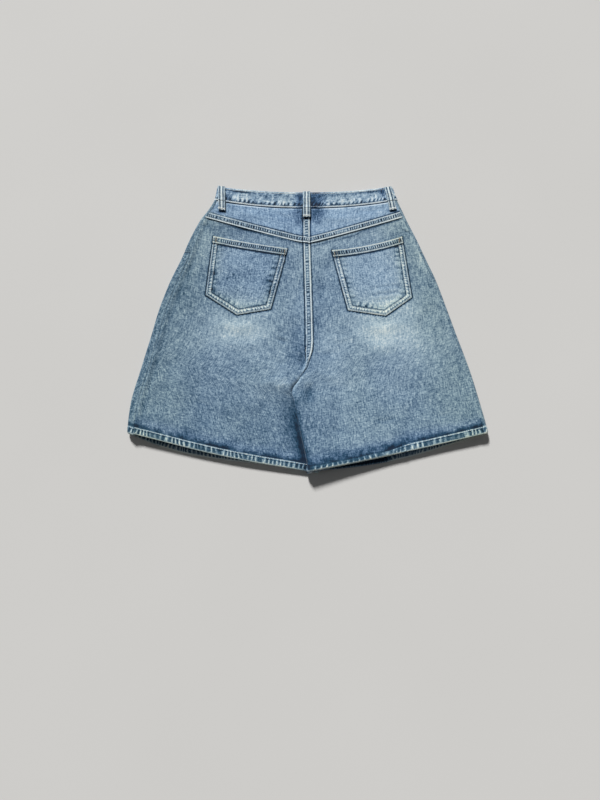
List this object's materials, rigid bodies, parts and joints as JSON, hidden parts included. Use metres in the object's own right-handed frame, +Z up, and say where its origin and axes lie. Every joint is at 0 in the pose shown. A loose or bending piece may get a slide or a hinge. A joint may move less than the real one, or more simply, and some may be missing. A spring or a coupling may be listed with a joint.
{
  "type": "denim shorts",
  "caption": "Wide-leg, knee-length denim shorts laid face down and flat, with back patch pockets, a yoke, belt loops and turned hems.",
  "frame": {"origin": "on the surface that the shorts lie on, under the middle of their outline", "axes": "+Z up from the surface, out of the back of the shorts; +Y towards the waist; +X towards the wearer's right"},
  "size_m": [0.6208, 0.552, 0.0207],
  "materials": {
    "denim": "washed blue twill, matt",
    "button_metal": "aged brass"
  },
  "bodies": {
    "root": {"back_panel_left": "denim", "back_panel_right": "denim", "front_panel_left": "denim", "front_panel_right": "denim", "back_yoke_left": "denim", "back_yoke_right": "denim", "front_facing_left": "denim", "front_facing_right": "denim", "back_pocket_left": "denim", "back_pocket_right": "denim", "waistband": "denim", "fly_shield": "denim", "belt_loop_back_centre": "denim", "belt_loop_back_left": "denim", "belt_loop_back_right": "denim", "belt_loop_front_left": "denim", "belt_loop_front_right": "denim", "button": "button_metal"}
  },
  "joints": []
}
